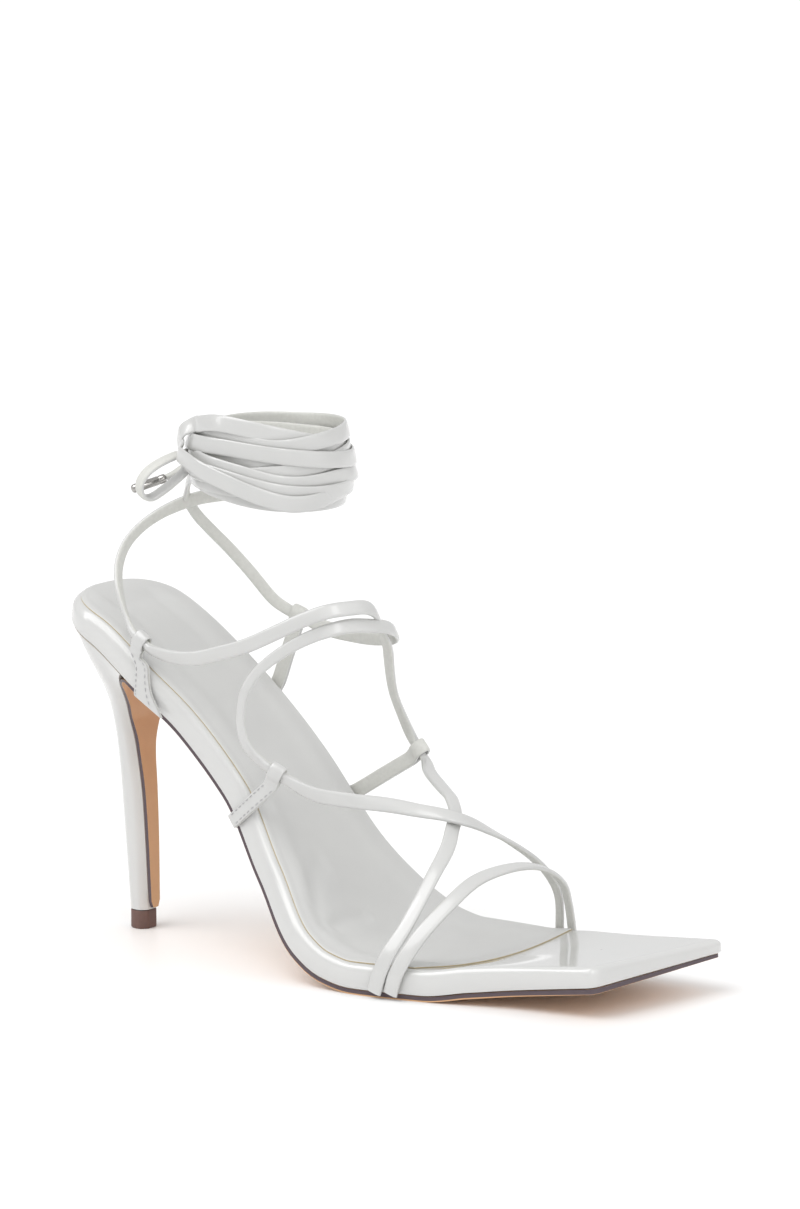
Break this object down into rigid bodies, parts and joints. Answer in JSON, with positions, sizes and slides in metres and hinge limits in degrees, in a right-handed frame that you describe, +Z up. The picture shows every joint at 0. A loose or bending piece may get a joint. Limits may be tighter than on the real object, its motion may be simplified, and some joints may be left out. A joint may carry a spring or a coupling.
{
  "type": "stiletto sandal",
  "caption": "Lace-up stiletto sandal with a square toe, thin straps through stitched side loops, a wound ankle tie and a tall covered heel.",
  "frame": {"origin": "on the floor under the middle of the heel tip", "axes": "+X from the heel to the toe, +Y to the medial side, +Z up"},
  "size_m": [0.2301, 0.0854, 0.1786],
  "materials": {
    "sole_leather": "smooth tan sole leather with a dark painted edge",
    "patent_leather": "glossy white patent wrap",
    "sock_leather": "soft matt white lining leather",
    "heel_cover": "glossy white patent cover",
    "top_piece": "matt dark brown",
    "strap_leather": "glossy white patent strap",
    "loop_leather": "glossy white patent, stitched",
    "tip_metal": "polished"
  },
  "bodies": {
    "root": {"outsole": "sole_leather", "platform": "patent_leather", "sock": "sock_leather", "heel": "heel_cover", "heel_tip": "top_piece", "foot_straps": "strap_leather", "ankle_ties": "strap_leather", "loop_front_lateral": "loop_leather", "loop_rear_lateral": "loop_leather", "loop_front_medial": "loop_leather", "loop_rear_medial": "loop_leather", "bow_loop": "strap_leather", "tie_tip": "tip_metal"}
  },
  "joints": []
}
